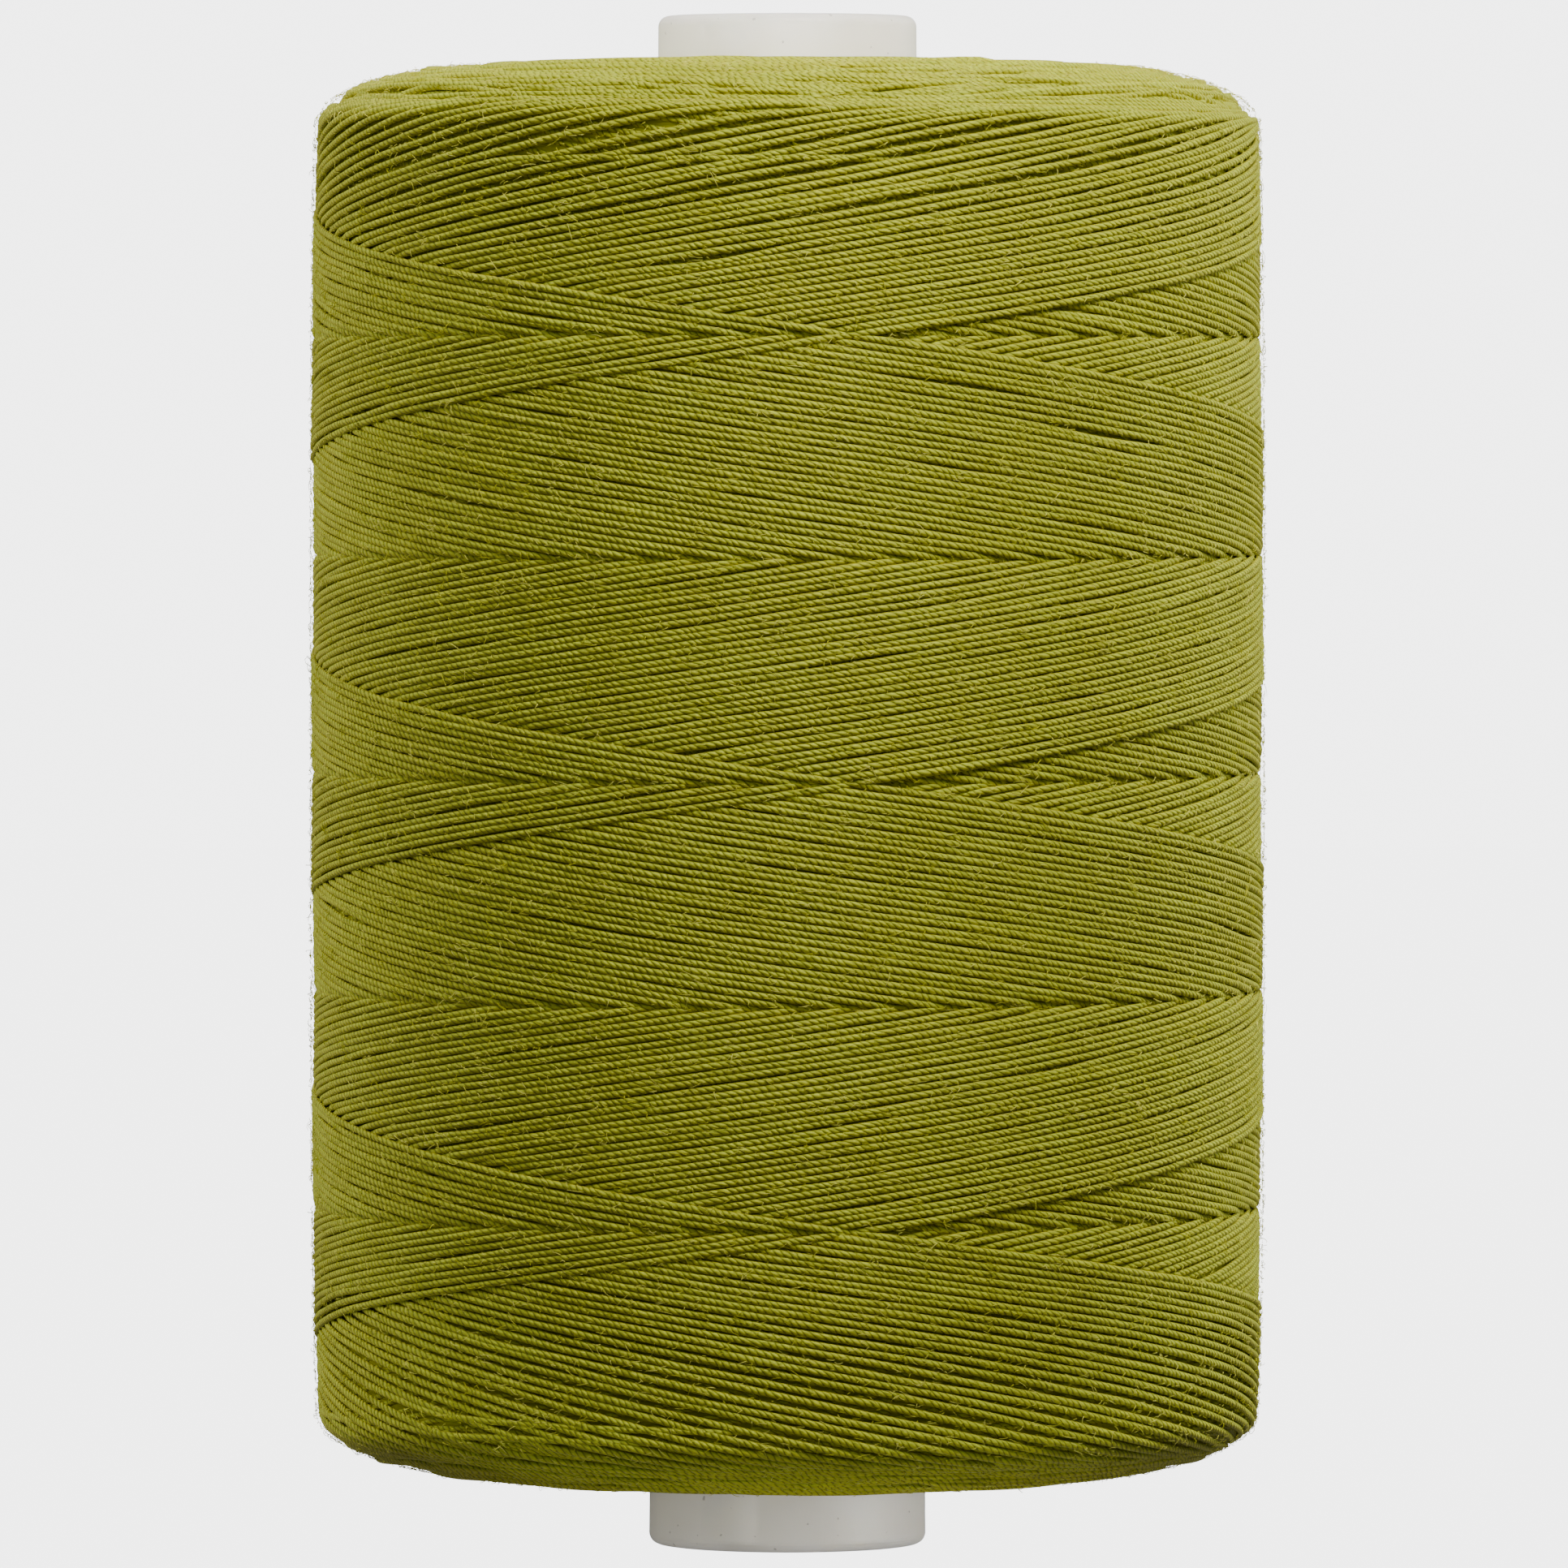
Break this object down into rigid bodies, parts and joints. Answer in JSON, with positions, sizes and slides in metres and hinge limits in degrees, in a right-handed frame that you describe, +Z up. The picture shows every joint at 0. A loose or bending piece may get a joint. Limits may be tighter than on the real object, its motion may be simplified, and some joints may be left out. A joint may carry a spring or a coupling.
{
  "type": "thread spool",
  "caption": "Cylindrical cross-wound package of olive green thread on a plain white plastic tube that sticks out at both ends.",
  "frame": {"origin": "centre of the tube's foot rim, the plane that the spool stands on", "axes": "+Z up the tube's axis from the wider foot rim to the head rim; -Y is the side that the picture shows; +X to its right"},
  "size_m": [0.04, 0.04, 0.064],
  "materials": {
    "tube_plastic": "translucent white, satin",
    "wound_thread": "olive green plied thread",
    "outer_thread": "olive green plied thread, soft sheen"
  },
  "bodies": {
    "root": {"core_tube": "tube_plastic", "thread_body": "wound_thread", "outer_winding": "outer_thread"}
  },
  "joints": []
}
